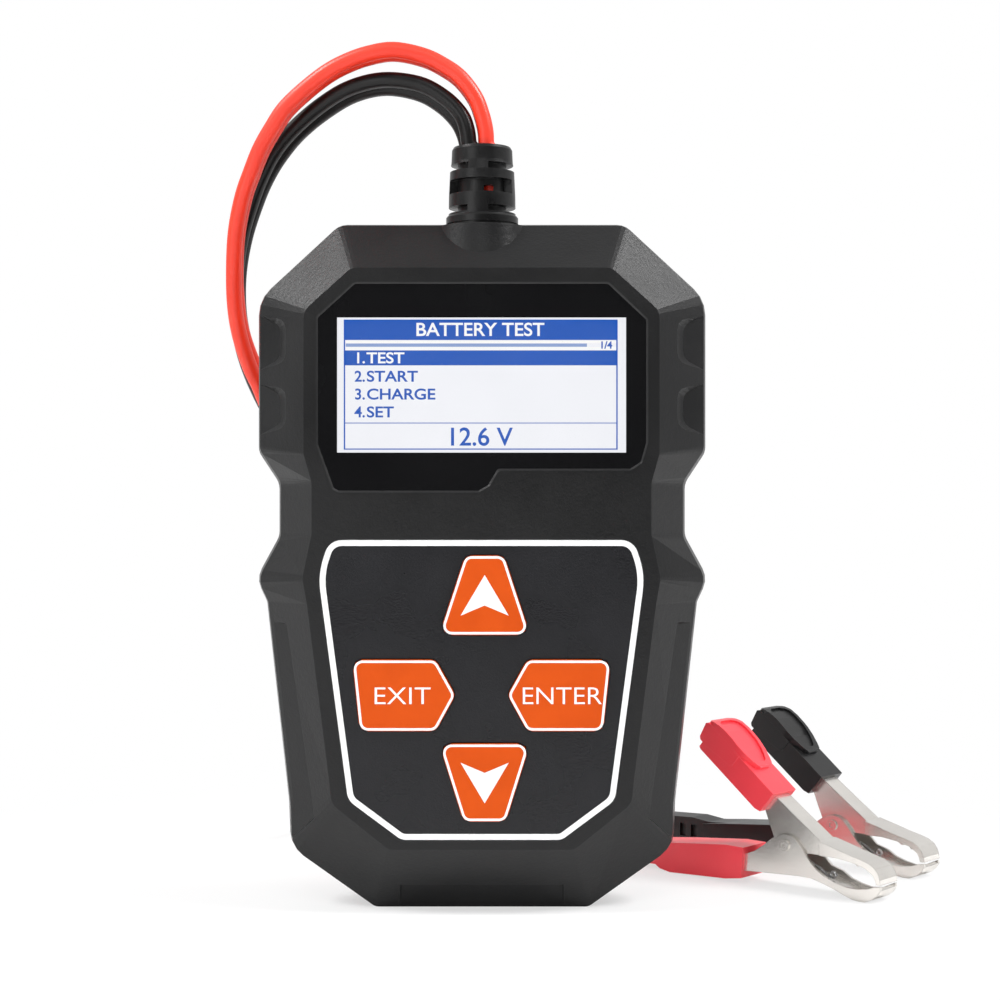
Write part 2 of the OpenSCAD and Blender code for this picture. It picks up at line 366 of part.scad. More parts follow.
module lower_arm(o) color([0.84, 0.82, 0.79]) clip_frame(o) difference() {
  union() {
    plate([each low_out, each low_in], 0, clip_w);
    plate([each low_out, each low_jaw], 0, sheet);
    plate([each low_out, each low_far], clip_w - sheet, clip_w);
  }
  translate([pu, -1, pv]) rotate([-90, 0, 0]) cylinder(r = rivet_r, h = clip_w + 2, $fn = 24);
}
ui = sheet + ear_gap;
module upper_arm(o) color([0.84, 0.82, 0.79]) clip_frame(o) difference() {
  union() {
    plate([each up_top, each up_in], ui, clip_w - ui);
    // jaw part over the full width, ahead of the ears
    plate([for (p = up_top) if (p.x > -9.4) p, for (p = up_in) if (p.x > -9.6) p], 0, clip_w);
    plate([for (p = up_top) if (p.x > -9.4) p, each up_jaw], 0, sheet);
    plate([for (p = up_top) if (p.x > -9.4) p, each up_teeth], clip_w - sheet, clip_w);
    plate([for (p = up_top) if (p.x < -2) p, each [[-5.5, 7.2], [-9, 7.2]], each up_rear], ui, ui + sheet);
    plate([for (p = up_top) if (p.x < -2) p, each [[-5.5, 7.2], [-9, 7.2]], each up_rear], clip_w - ui - sheet, clip_w - ui);
  }
  translate([pu, -1, pv]) rotate([-90, 0, 0]) cylinder(r = rivet_r + pivot_gap, h = clip_w + 2, $fn = 24);
}
module rivet(o) color([0.75, 0.73, 0.7]) clip_frame(o) translate([pu, 0, pv]) rotate([-90, 0, 0]) {
  cylinder(r = rivet_r, h = clip_w, $fn = 24);
  difference() { translate([0, 0, -0.35]) cylinder(r = 1.05, h = 0.35, $fn = 32); translate([0, 0, -0.5]) cylinder(r = 0.5, h = 0.3, $fn = 24); }
  translate([0, 0, clip_w]) cylinder(r = 1.15, h = 0.35, $fn = 32);
}
module spring(o) color([0.7, 0.7, 0.72]) clip_frame(o) {
  translate([pu, ui + sheet + 0.3, pv]) rotate([-90, 0, 0]) rotate_extrude($fn = 32)
    polygon([[1.0, 0], [1.5, 0], [1.5, clip_w - 2 * (ui + sheet + 0.3)], [1.0, clip_w - 2 * (ui + sheet + 0.3)]]);
  // lower leg rests on the lower arm's web
  plate([[pu + 0.2, pv - 1.45], [pu + 1.0, pv - 1.25], [-9.3, 3.8], [-9.6, 3.3]], ui + sheet + 0.3, ui + sheet + 0.8);
  // upper leg bears under the upper arm's web
  plate([[pu + 0.2, pv + 1.45], [pu + 1.0, pv + 1.25], [-12.2, 10.7], [-12.55, 11.2]], clip_w - ui - sheet - 0.8, clip_w - ui - sheet - 0.3);
}
bt = 0.9; boot_gap = 0.05;
module lower_boot(o, c) color(c) clip_frame(o) difference() {
  union() {
    plate([[-25.4, 1.1], [-29, 0.6], [-41.8, 0.15], [-45.8, 1.0], [tail_u, 0.8], [tail_u, 5.6], [-50, 6.1], [-45.8, 5.6], [-41.2, 5.9], [-29, 7.0], [-24.9, 6.9]], 0.3, clip_w - 0.3);
    plate([[-25.4, 1.1], [-29, 0.6], [-41.8, 0.15], [-44.2, 0.6], [-46.2, 1.9], [-46.8, 5.3], [-41.2, 5.9], [-29, 7.0], [-24.9, 6.9]], -bt, clip_w + bt);
  }
  // the arm's channel, open at the front
  plate([[-20, 2.3], [-25, 2.45], [-42, 2.0], [-42, 4.8], [-25, 5.6], [-20, 9]], 0, clip_w);
  // flex slots in the tail
  for (u = [-60.4, -56.8, -53.2, -50.4]) for (s = [0, 1]) box(u, u + 1.6, s ? clip_w - 1 : -1, s ? clip_w + 1 : 1, 2.0, 4.6);
}
hd = 40;
ht = [-18.95, 17.1];
// handle frame: x runs back along the handle, z out of its top
module handle() { translate([ht.x, 0, ht.y]) rotate([0, hd, 0]) mirror([1, 0, 0]) children(); }
function hp(s, q) = [ht.x - s * cos(hd) + q * sin(hd), ht.y + s * sin(hd) + q * cos(hd)];
// half widths of the thumb pad and of its sunk face, along the handle
pad = [[5.75, 1.6], [6.2, 2.4], [7.4, 3.0], [9.4, 3.7], [11.4, 4.0], [17.2, 4.0], [18.5, 3.5], [19.2, 2.3]];
sunk = [[6.9, 0.8], [7.2, 1.4], [8.4, 2.15], [10, 2.8], [11.8, 3.15], [16, 3.15], [17.2, 2.7], [17.8, 1.5]];
module leaf(l, h0, h1) { translate([0, 0, h0]) linear_extrude(h1 - h0)
  polygon([for (p = l) [p.x, clip_w / 2 + p.y * clip_w / 6], for (i = [len(l) - 1:-1:0]) [l[i].x, clip_w / 2 - l[i].y * clip_w / 6]]); }
module upper_boot(o, c) color(c) clip_frame(o) difference() {
  union() {
    plate([hp(-0.2, 0.8), hp(17.0, 0.8), hp(17.3, -0.2), hp(17.3, -4.1), hp(16.8, -4.35), hp(1, -4.15), hp(-0.2, -3.75)], -bt, clip_w + bt);
    plate([hp(9.6, 0.9), hp(9.6, -1.6), hp(10.2, -2.05), hp(15.8, -2.9), hp(17.9, -2.9), hp(18.4, -2.5), hp(19, 0.4), hp(18.6, 0.9)], -bt - 0.12, clip_w + bt + 0.12);
    // thumb pad with an arched top
    intersection() {
      plate([hp(5.7, 0.4), hp(5.7, 1.3), hp(6.1, 1.7), hp(8, 1.85), hp(10, 2.05), hp(12.5, 2.3), hp(14.8, 2.35), hp(16.6, 2.15), hp(18, 1.65), hp(19, 0.95), hp(19.3, 0.4), hp(19.2, 0.3)], -3, clip_w + 3);
      handle() leaf(pad, -2, 4);
    }
  }
  // sunk face of the pad
  intersection() {
    plate([hp(6, 1.3), hp(8, 1.4), hp(10, 1.6), hp(12.5, 1.85), hp(14.8, 1.9), hp(16.6, 1.7), hp(18, 1.2), hp(18.4, 5), hp(6, 5)], -3, clip_w + 3);
    handle() leaf(sunk, 0.5, 5.5);
  }
  // the handle channel, open below and in front
  plate([hp(-2, boot_gap), hp(16.5, boot_gap), hp(16.5, -3.8), hp(-2, -3.65)], ui - boot_gap, clip_w - ui + boot_gap);
  plate([hp(-2, -3.0), hp(15.6, -3.3), hp(15.6, -6.5), hp(-2, -6.5)], ui + 0.4, clip_w - ui - 0.4);
}
redc = [0.94, 0.22, 0.28];
blkc = [0.1, 0.1, 0.1];

front_shell();
rear_shell();
case_screws();
window_lens();
window_mask();
lcd_frame();
lcd_panel();
lcd_backlight();
keypad_overlay();
key(up_c, dome_at[0]);  // key_up
key(down_c, dome_at[1]);  // key_down
key(left_c, dome_at[2]);  // key_left
key(right_c, dome_at[3]);  // key_right
snap_domes();
pcb();
pcb_screws();
mcu_chip();
measuring_chips();
load_resistor();
mosfets();
capacitors();
buzzer();
inner_wires_red();
inner_wires_black();
cord_boot();
cord_grip();
grip_screws();
red_lead();
black_lead();
lower_arm(red_at);  // red_lower_arm
upper_arm(red_at);  // red_upper_arm
rivet(red_at);  // red_rivet
spring(red_at);  // red_spring
lower_boot(red_at, redc);  // red_lower_boot
upper_boot(red_at, redc);  // red_upper_boot
lower_arm(black_at);  // black_lower_arm
upper_arm(black_at);  // black_upper_arm
rivet(black_at);  // black_rivet
spring(black_at);  // black_spring
lower_boot(black_at, blkc);  // black_lower_boot
upper_boot(black_at, blkc);  // black_upper_boot
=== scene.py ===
# %% [markdown]
# # A handheld battery tester with two clip leads
# The tester stands upright on its short lower edge. Two half shells of black plastic meet at
# a seam, a film keypad and a glossy window sit in the front, and two flat twin leads leave a
# slotted rubber boot at the top and end in small spring clips.
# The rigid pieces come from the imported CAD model. This lesson dresses them: it lays the
# leads, gives each surface a procedural finish, and adds the print, the display and the
# pieces too fine for the CAD.

# %% Load the frame
import bpy, bmesh, math
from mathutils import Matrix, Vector


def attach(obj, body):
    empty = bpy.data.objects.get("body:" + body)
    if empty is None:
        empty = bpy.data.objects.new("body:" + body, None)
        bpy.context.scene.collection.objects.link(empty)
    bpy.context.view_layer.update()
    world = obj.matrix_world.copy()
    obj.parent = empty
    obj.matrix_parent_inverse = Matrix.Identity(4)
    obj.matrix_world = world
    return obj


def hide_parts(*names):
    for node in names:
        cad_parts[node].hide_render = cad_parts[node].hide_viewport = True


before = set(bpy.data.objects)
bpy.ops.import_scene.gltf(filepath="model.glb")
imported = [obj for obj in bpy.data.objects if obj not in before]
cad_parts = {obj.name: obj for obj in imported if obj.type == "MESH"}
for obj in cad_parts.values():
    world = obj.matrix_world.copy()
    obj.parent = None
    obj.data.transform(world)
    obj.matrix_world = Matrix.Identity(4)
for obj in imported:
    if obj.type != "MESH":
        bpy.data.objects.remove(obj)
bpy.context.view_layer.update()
MM = 0.001

# %% [markdown]
# ## Camera
# A product shot of this kind is taken from straight ahead with a moderate lens, so that the
# front stays square and only the clips on the bench are seen a little from above. The lens
# stands level with the middle of the tester, 340 mm in front of its seam.

# %% Camera
lens = bpy.data.cameras.new("studio_camera")
lens.lens, lens.sensor_width = 68.3, 36
lens.clip_start, lens.clip_end = 0.01, 10
camera = bpy.data.objects.new("studio_camera", lens)
camera.location = (3.2 * MM, -340 * MM, 72 * MM)
camera.rotation_euler = (math.radians(90), 0, 0)
bpy.context.collection.objects.link(camera)
bpy.context.scene.camera = camera
bpy.context.scene.view_settings.view_transform = "Standard"
print("camera at", tuple(round(v, 3) for v in camera.location))

# %% [markdown]
# ## The twin leads
# Each lead is a flat cable of two insulated strands side by side, joined by a thin web, so
# its section is a figure of eight. A round bevel on a curve can't give that, and a cable
# can't be allowed to spin about its own axis, so each section is given one by one: a point on
# the route and the direction of the wide side. Both are smoothed with a Catmull-Rom spline.

# %% The routes of the leads, in millimetres: x, y, z and the direction of the wide side
STRAND = 2.9  # one insulated strand, across
RX = STRAND / 2
RED_ROUTE = [
    (RX, 0, 105, 0, 1, 0), (RX, 0, 132, 0, 1, 0), (0.8, 0, 135.1, 0, 1, 0), (0.6, 0, 138, 0, 1, 0),
    (-0.1, 0, 141, 0, 1, 0), (-1.3, 0, 144, 0, 1, 0), (-3.8, 0, 147.3, 0, 1, 0), (-6.7, 0.3, 149.5, 0, 1, 0),
    (-10.5, 0.6, 151.4, 0, 1, 0), (-15.8, 0.8, 152.5, 0, 1, 0), (-20.5, 1.3, 151.9, 0, 1, 0),
    (-24.6, 2, 150.6, 0, 1, 0), (-28.2, 2.7, 148.8, 0, 1, 0), (-32.2, 3.5, 145.9, 0, 1, 0),
    (-35.7, 4.4, 142.8, 0, 1, 0), (-38, 5.3, 139.7, 0, 1, 0), (-40.4, 6.4, 135.9, 0, 1, 0),
    (-42.3, 7.5, 131.7, 0, 1, 0), (-44, 8.8, 127.4, 0, 1, 0), (-45.4, 10.4, 121.5, 0, 1, 0),
    (-46, 12, 115, 0, 1, 0), (-46, 13.7, 108.5, 0.05, 1, 0), (-45.3, 15.5, 103, 0.1, 1, 0),
    (-43.6, 17.8, 97.3, 0.2, 1, 0), (-41.6, 20, 92.8, 0.3, 1, 0), (-38.5, 23.5, 84, 0.4, 1, 0),
    (-35, 27, 72, 0.5, 1, 0), (-31, 30.5, 58, 0.5, 1, 0), (-28, 34, 44, 0.6, 1, 0),
    (-26.5, 38, 30, 0.8, 0.8, 0), (-27, 45, 17, 1, 0.4, 0), (-28, 54, 7.5, 1, 0.1, 0),
    (-27.8, 64, 2.5, 1, 0, 0), (-25, 73, 1.6, 0.9, -0.4, 0), (-19, 79, 1.6, 0.5, -0.9, 0),
    (-11, 80, 1.6, -0.1, -1, 0), (-3.5, 75.5, 1.7, -0.5, -0.9, 0), (3.5, 67, 1.9, -0.7, -0.7, 0)]
BLACK_ROUTE = [
    (-RX, 0, 105, 0, 1, 0), (-RX, 0, 132, 0, 1, 0), (-2.4, 0, 135.1, -0.1, 1, 0), (-3, 0, 138, -0.2, 1, -0.1),
    (-4.2, 0.3, 140.6, -0.3, 1, -0.2), (-7, 0.8, 143.5, -0.3, 1, -0.3), (-11.3, 1.6, 146, -0.15, 1, -0.4),
    (-17.6, 3, 147.2, 0, 1, -0.3), (-23.8, 5.3, 146.3, 0.1, 1, -0.25), (-29.5, 8.4, 143.7, 0.2, 1, -0.2),
    (-34.7, 11, 140, 0.25, 1, -0.1), (-38.4, 13.4, 136.2, 0.25, 1, -0.1), (-41, 14.6, 132, 0.2, 1, 0),
    (-43, 15.6, 127.5, 0.15, 1, 0), (-45, 16.5, 121.5, 0.1, 1, 0), (-46.3, 18.2, 115, 0.05, 1, 0),
    (-46.6, 20, 108.5, 0.05, 1, 0), (-46, 21.8, 103, 0.1, 1, 0), (-44.6, 24.3, 97.5, 0.2, 1, 0),
    (-42.2, 27.5, 91.5, 0.3, 1, 0), (-37.6, 31.5, 82, 0.4, 1, 0), (-34.6, 35.5, 69, 0.5, 1, 0),
    (-33.8, 40, 54, 0.5, 1, 0), (-34, 44.5, 39, 0.6, 1, 0), (-35, 50.5, 25, 0.9, 0.6, 0),
    (-35.3, 59, 13, 1, 0.3, 0), (-35, 70, 5, 1, 0.1, 0), (-32.5, 81, 1.8, 1, -0.3, 0),
    (-26, 91, 1.6, 0.8, -0.7, 0), (-16, 97, 1.6, 0.3, -1, 0), (-5, 97.5, 1.6, -0.2, -1, 0),
    (6, 93.5, 1.7, -0.5, -0.9, 0), (16, 85.5, 2, -0.6, -0.8, 0)]
PSI = math.radians(41)  # the clips lie turned by this from the front
CLIP_W = 6.0  # width of a clip
RED_AT, BLACK_AT = Vector((68.1, -0.4, 0)), Vector((80.7, 21.1, 0))


def on_clip(at, u, w, v):
    """A point of a clip, in millimetres: u along its jaws, w across, v up."""
    return at + Vector((u * math.cos(PSI) + w * math.sin(PSI), -u * math.sin(PSI) + w * math.cos(PSI), v))


def to_tail(route, at):
    """The route with its last stretch into the tail of a clip's lower boot."""
    across = (-math.sin(PSI), -math.cos(PSI), 0)
    ends = [on_clip(at, -71, CLIP_W / 2, 2.6), on_clip(at, -62, CLIP_W / 2, 3.2)]
    return route + [(*p, *across) for p in ends]


# %% Sweep a figure of eight along a route
def catmull(a, b, c, d, t):
    return 0.5 * (2 * b + (c - a) * t + (2 * a - 5 * b + 4 * c - d) * t * t + (3 * b - a - 3 * c + d) * t ** 3)


def smooth_route(route, steps=6):
    p = [Vector(r[:3]) for r in route]
    w = [Vector(r[3:]).normalized() for r in route]
    out = []
    for i in range(len(p) - 1):
        k = (max(i - 1, 0), i, i + 1, min(i + 2, len(p) - 1))
        for s in range(steps):
            out.append((catmull(*(p[j] for j in k), s / steps), catmull(*(w[j] for j in k), s / steps)))
    return out + [(p[-1], w[-1])]


def eight_section(n=11):
    """Two circles side by side, open towards each other where the web joins them."""
    r, mid, gap = RX, RX - 0.04, math.radians(24)

    def arc(centre, a0, a1):
        turns = [a0 + (a1 - a0) * i / n for i in range(n + 1)]
        return [(centre + r * math.cos(a), r * math.sin(a)) for a in turns]

    return arc(mid, -math.pi + gap, math.pi - gap) + arc(-mid, gap, 2 * math.pi - gap)


def twin_lead(name, route):
    rings, section, mesh = smooth_route(route), eight_section(), bpy.data.meshes.new(name)
    verts, faces, n = [], [], len(section)
    for i, (p, w) in enumerate(rings):
        t = (rings[min(i + 1, len(rings) - 1)][0] - rings[max(i - 1, 0)][0]).normalized()
        w = (w - t * w.dot(t)).normalized()
        s = t.cross(w)
        verts += [(p + w * a + s * b) * MM for a, b in section]
    for i in range(len(rings) - 1):
        faces += [(i * n + k, (i + 1) * n + k, (i + 1) * n + (k + 1) % n, i * n + (k + 1) % n)
                  for k in range(n)]
    faces += [tuple(range(n)), tuple(reversed([(len(rings) - 1) * n + k for k in range(n)]))]
    mesh.from_pydata([tuple(v) for v in verts], [], faces)
    mesh.update()
    bm = bmesh.new()
    bm.from_mesh(mesh)
    bmesh.ops.recalc_face_normals(bm, faces=bm.faces)
    bm.to_mesh(mesh)
    bm.free()
    mesh.shade_smooth()
    lead = bpy.data.objects.new(name, mesh)
    bpy.context.collection.objects.link(lead)
    path = [tuple(p * MM) for p, _ in rings]
    length = sum((Vector(b) - Vector(a)).length for a, b in zip(path, path[1:]))
    print(name, "is", round(length, 4), "m long")
    return lead, path, length


red_lead, red_path, red_length = twin_lead("red_twin_lead", to_tail(RED_ROUTE, RED_AT))
black_lead, black_path, black_length = twin_lead("black_twin_lead", to_tail(BLACK_ROUTE, BLACK_AT))
for lead, colour in ((red_lead, "red"), (black_lead, "black")):
    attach(lead, "tester")
    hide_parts(colour + "_lead")

# %% [markdown]
# ## Finishes as node groups
# Several plastics share the same effects: a fine moulded grain, a slow drift of tone over
# the surface and a lighter rub where edges are touched. On the nickel the same edge mask
# carries a dark tone, which is painted shade along edges and in crevices. Each effect is a
# node group, built once, and each material places it with its own values. The groups put out
# only masks, colours and heights; the Principled shader stays in the material.

# %% Helpers that build node trees
def new_group(name, inputs, outputs):
    """An empty node group with its sockets, and its input and output nodes."""
    g = bpy.data.node_groups.new(name, "ShaderNodeTree")
    for n, kind, value in inputs:
        s = g.interface.new_socket(n, in_out="INPUT", socket_type=kind)
        s.default_value = value
    for n, kind in outputs:
        g.interface.new_socket(n, in_out="OUTPUT", socket_type=kind)
    return g, g.nodes.new("NodeGroupInput"), g.nodes.new("NodeGroupOutput")


def add_node(tree, kind, **settings):
    """A node with its own settings, such as its operation."""
    node = tree.nodes.new(kind)
    for key, value in settings.items():
        setattr(node, key, value)
    return node


def values(node, **inputs):
    """Sets inputs of a node by name, with _ for a space, and gives the node back."""
    for key, value in inputs.items():
        node.inputs[key.replace("_", " ")].default_value = value
    return node


def link(tree, *pairs):
    for source, target in pairs:
        tree.links.new(source, target)


FLOAT, COLOUR = "NodeSocketFloat", "NodeSocketColor"

# %% Moulded grain: small rounded pits and peaks, measured in repeats per metre
COARSER = 0.35  # the second noise repeats at this share of the first
grain_group, gi, go = new_group(
    "moulded_grain", [("Scale", FLOAT, 3000.0), ("Depth", FLOAT, 1.0)], [("Height", FLOAT)])
place = add_node(grain_group, "ShaderNodeTexCoord")
fine = values(add_node(grain_group, "ShaderNodeTexNoise"), Detail=2.0)
coarse = values(add_node(grain_group, "ShaderNodeTexNoise"), Detail=1.0)
slower = add_node(grain_group, "ShaderNodeMath", operation="MULTIPLY")
slower.inputs[1].default_value = COARSER
added = add_node(grain_group, "ShaderNodeMath", operation="ADD")
deep = add_node(grain_group, "ShaderNodeMath", operation="MULTIPLY")
link(grain_group,
     (place.outputs["Object"], fine.inputs["Vector"]), (place.outputs["Object"], coarse.inputs["Vector"]),
     (gi.outputs["Scale"], fine.inputs["Scale"]), (gi.outputs["Scale"], slower.inputs[0]),
     (slower.outputs[0], coarse.inputs["Scale"]),
     (fine.outputs["Fac"], added.inputs[0]), (coarse.outputs["Fac"], added.inputs[1]),
     (added.outputs[0], deep.inputs[0]), (gi.outputs["Depth"], deep.inputs[1]),
     (deep.outputs[0], go.inputs["Height"]))
print("grain:", len(grain_group.nodes), "nodes")

# %% Tone drift: a slow change between two tones, as moulded colour has
drift_group, di, do = new_group(
    "tone_drift", [("Tone A", COLOUR, (0, 0, 0, 1)), ("Tone B", COLOUR, (1, 1, 1, 1)), ("Scale", FLOAT, 60.0)],
    [("Colour", COLOUR), ("Mask", FLOAT)])
place = add_node(drift_group, "ShaderNodeTexCoord")
cloud = values(add_node(drift_group, "ShaderNodeTexNoise"), Detail=3.0)
ramp = add_node(drift_group, "ShaderNodeValToRGB")
ramp.color_ramp.elements[0].position, ramp.color_ramp.elements[1].position = 0.35, 0.68
mix = add_node(drift_group, "ShaderNodeMix", data_type="RGBA")
link(drift_group,
     (place.outputs["Object"], cloud.inputs["Vector"]), (di.outputs["Scale"], cloud.inputs["Scale"]),
     (cloud.outputs["Fac"], ramp.inputs["Fac"]), (ramp.outputs["Color"], mix.inputs["Factor"]),
     (di.outputs["Tone A"], mix.inputs["A"]), (di.outputs["Tone B"], mix.inputs["B"]),
     (mix.outputs["Result"], do.inputs["Colour"]), (ramp.outputs["Color"], do.inputs["Mask"]))
print("drift:", len(drift_group.nodes), "nodes")

# %% Edge wear and edge shade: a rounded-normal test finds the edges, a noise breaks the line up. A light tone on this mask paints wear, a dark tone paints shade
edge_wear_shade_group, ri, ro = new_group(
    "edge_wear_and_shade", [("Radius", FLOAT, 0.0004), ("Amount", FLOAT, 0.5)], [("Mask", FLOAT)])
rounded = add_node(edge_wear_shade_group, "ShaderNodeBevel", samples=4)
flat = add_node(edge_wear_shade_group, "ShaderNodeNewGeometry")
dot = add_node(edge_wear_shade_group, "ShaderNodeVectorMath", operation="DOT_PRODUCT")
edge = values(add_node(edge_wear_shade_group, "ShaderNodeMapRange"), From_Min=0.995, From_Max=0.85, To_Min=0.0, To_Max=1.0)
place = add_node(edge_wear_shade_group, "ShaderNodeTexCoord")
patchy = values(add_node(edge_wear_shade_group, "ShaderNodeTexNoise"), Scale=260.0, Detail=4.0)
broken = add_node(edge_wear_shade_group, "ShaderNodeMath", operation="MULTIPLY")
much = add_node(edge_wear_shade_group, "ShaderNodeMath", operation="MULTIPLY")
link(edge_wear_shade_group,
     (ri.outputs["Radius"], rounded.inputs["Radius"]),
     (rounded.outputs["Normal"], dot.inputs[0]), (flat.outputs["Normal"], dot.inputs[1]),
     (dot.outputs["Value"], edge.inputs["Value"]), (place.outputs["Object"], patchy.inputs["Vector"]),
     (edge.outputs["Result"], broken.inputs[0]), (patchy.outputs["Fac"], broken.inputs[1]),
     (broken.outputs[0], much.inputs[0]), (ri.outputs["Amount"], much.inputs[1]),
     (much.outputs[0], ro.inputs["Mask"]))
print("groups:", [g.name for g in bpy.data.node_groups])

# %% [markdown]
# ## Materials
# One maker sets up a Principled shader with the groups that a finish needs: tone drift into
# the colour, the edge mask into colour and roughness (wear on the plastics, painted shade on
# the nickel), and the grain into a Bump node. What differs from finish to finish is only the
# values.

# %% A bare material, and the tone drift placed in it
def new_material(name):
    m = bpy.data.materials.new(name)
    m.use_nodes = True
    return m, m.node_tree, m.node_tree.nodes["Principled BSDF"]


def place_tones(tree, tone_a, tone_b, scale):
    group = add_node(tree, "ShaderNodeGroup", node_tree=drift_group)
    return values(group, Tone_A=(*tone_a, 1), Tone_B=(*tone_b, 1), Scale=scale)


# %% The material maker
def finish(name, tone_a, tone_b, rough, drift=70, grain=None, worn_and_shaded_edges=None,
           metallic=0.0, specular=0.5, rough_swing=0.06):
    """grain: repeats per metre, depth, height in metres. The edge tuple: radius, amount, tone, roughness; a
    light tone paints wear on the edges, a dark tone paints shade there.
    """
    m, t, p = new_material(name)
    values(p, Metallic=metallic, Specular_IOR_Level=specular)
    tones = place_tones(t, tone_a, tone_b, drift)
    colour = tones.outputs["Colour"]
    shine = values(add_node(t, "ShaderNodeMapRange"), To_Min=rough - rough_swing, To_Max=rough + rough_swing)
    t.links.new(tones.outputs["Mask"], shine.inputs["Value"])
    roughness = shine.outputs["Result"]
    # the edge mask lays its tone on the edges: lighter as wear on the plastics, darker as painted shade on the
    # nickel
    if worn_and_shaded_edges:
        radius, amount, edge_tone, edge_rough = worn_and_shaded_edges
        edges = values(add_node(t, "ShaderNodeGroup", node_tree=edge_wear_shade_group), Radius=radius, Amount=amount)
        over = values(add_node(t, "ShaderNodeMix", data_type="RGBA"), B=(*edge_tone, 1))
        blend = values(add_node(t, "ShaderNodeMix", data_type="FLOAT"), B=edge_rough)
        link(t, (edges.outputs["Mask"], over.inputs["Factor"]), (colour, over.inputs["A"]),
             (edges.outputs["Mask"], blend.inputs["Factor"]), (roughness, blend.inputs["A"]))
        colour, roughness = over.outputs["Result"], blend.outputs["Result"]
    link(t, (colour, p.inputs["Base Color"]), (roughness, p.inputs["Roughness"]))
    if grain:
        scale, depth, lift = grain
        g = values(add_node(t, "ShaderNodeGroup", node_tree=grain_group), Scale=scale, Depth=depth)
        bump = values(add_node(t, "ShaderNodeBump"), Distance=lift)
        link(t, (g.outputs["Height"], bump.inputs["Height"]), (bump.outputs["Normal"], p.inputs["Normal"]))
    return m


# %% The finishes
shell_plastic = finish("shell_plastic", (0.0062, 0.0062, 0.0066), (0.0084, 0.0084, 0.0088),
                       0.38, 55, (3200, 1.0, 0.00003), (0.0005, 0.25, (0.05, 0.05, 0.052), 0.36), specular=0.32)
overlay_film = finish("overlay_film", (0.0045, 0.0046, 0.0062), (0.0065, 0.0066, 0.0088),
                      0.30, 90, (9000, 1.0, 0.00003), specular=0.36)
key_orange = finish("key_orange", (0.57, 0.068, 0.002), (0.61, 0.076, 0.003),
                    0.5, 200, (3800, 1.0, 0.000015), specular=0.14)
boot_rubber = finish("boot_rubber", (0.005, 0.005, 0.0052), (0.008, 0.008, 0.0082),
                     0.32, 160, (4200, 1.0, 0.00002), (0.0003, 0.3, (0.06, 0.06, 0.06), 0.36), specular=0.30)
red_cable = finish("red_cable", (0.88, 0.038, 0.013), (0.83, 0.034, 0.012), 0.42, 120, (5200, 1.0, 0.000006))
black_cable = finish("black_cable", (0.0035, 0.0032, 0.0032), (0.006, 0.0055, 0.0055),
                     0.36, 120, (5200, 1.0, 0.000006), specular=0.28)
red_vinyl = finish("red_vinyl", (0.98, 0.064, 0.086), (0.95, 0.056, 0.076),
                   0.34, 90, (3400, 1.0, 0.00001), (0.0003, 0.5, (1.0, 0.20, 0.24), 0.34))
black_vinyl = finish("black_vinyl", (0.008, 0.008, 0.0085), (0.012, 0.012, 0.012),
                     0.36, 90, (3400, 1.0, 0.00001), (0.0003, 0.4, (0.08, 0.08, 0.08), 0.34), specular=0.38)
# nickel: the dark edge tone (0.10, 0.095, 0.09) is painted shade along the edges and in the crevices of the
# arms and rivets
nickel = finish("nickel", (0.76, 0.73, 0.69), (0.82, 0.79, 0.75),
                0.24, 110, (2400, 1.0, 0.000008), (0.00028, 1.0, (0.10, 0.095, 0.09), 0.34),
                metallic=0.85, rough_swing=0.03)
spring_steel = finish("spring_steel", (0.52, 0.52, 0.53), (0.62, 0.62, 0.63),
                      0.28, 400, (6000, 1.0, 0.000004), metallic=1.0)
screw_zinc = finish("screw_zinc", (0.50, 0.51, 0.53), (0.60, 0.61, 0.63),
                    0.34, 500, (5000, 1.0, 0.000005), metallic=1.0)
board_green = finish("board_green", (0.012, 0.12, 0.05), (0.016, 0.15, 0.065), 0.35, 300, (2500, 1.0, 0.000006))
chip_black = finish("chip_black", (0.014, 0.014, 0.014), (0.022, 0.022, 0.022), 0.55, 500, (6000, 1.0, 0.00001))
ceramic = finish("ceramic", (0.62, 0.60, 0.55), (0.70, 0.68, 0.63), 0.7, 300, (2500, 1.0, 0.00003))
can_blue = finish("can_blue", (0.02, 0.03, 0.10), (0.03, 0.04, 0.13), 0.35, 300, (5000, 1.0, 0.000004))
frame_white = finish("frame_white", (0.58, 0.58, 0.56), (0.64, 0.64, 0.62), 0.5, 200, (3000, 1.0, 0.00001))
white_print = finish("white_print", (0.80, 0.80, 0.80), (0.86, 0.86, 0.86), 0.5, 400, (5000, 1.0, 0.000004))
print("materials:", len(bpy.data.materials))

# %% [markdown]
# ## The display
# The panel glows pale blue-white, with deep blue bars, frame lines and figures. It is lit
# from behind, so its colours come mostly from emission, and the light is even.

# %% Display finishes
def glowing(name, tone, mottle=0.02):
    """A panel lit from behind, whose light is mottled by a few hundredths."""
    m, t, p = new_material(name)
    tones = place_tones(t, tuple(c * (1 - mottle) for c in tone), tone, 120)
    values(p, Base_Color=(0.02, 0.02, 0.02, 1), Roughness=0.4, Emission_Strength=1.0)
    t.links.new(tones.outputs["Colour"], p.inputs["Emission Color"])
    return m


screen_pale = glowing("screen_pale", (0.93, 0.94, 0.985))
screen_white = glowing("screen_white", (1.0, 1.0, 1.0))
screen_blue = glowing("screen_blue", (0.002, 0.092, 0.50))
screen_soft = glowing("screen_soft", (0.27, 0.38, 0.66))

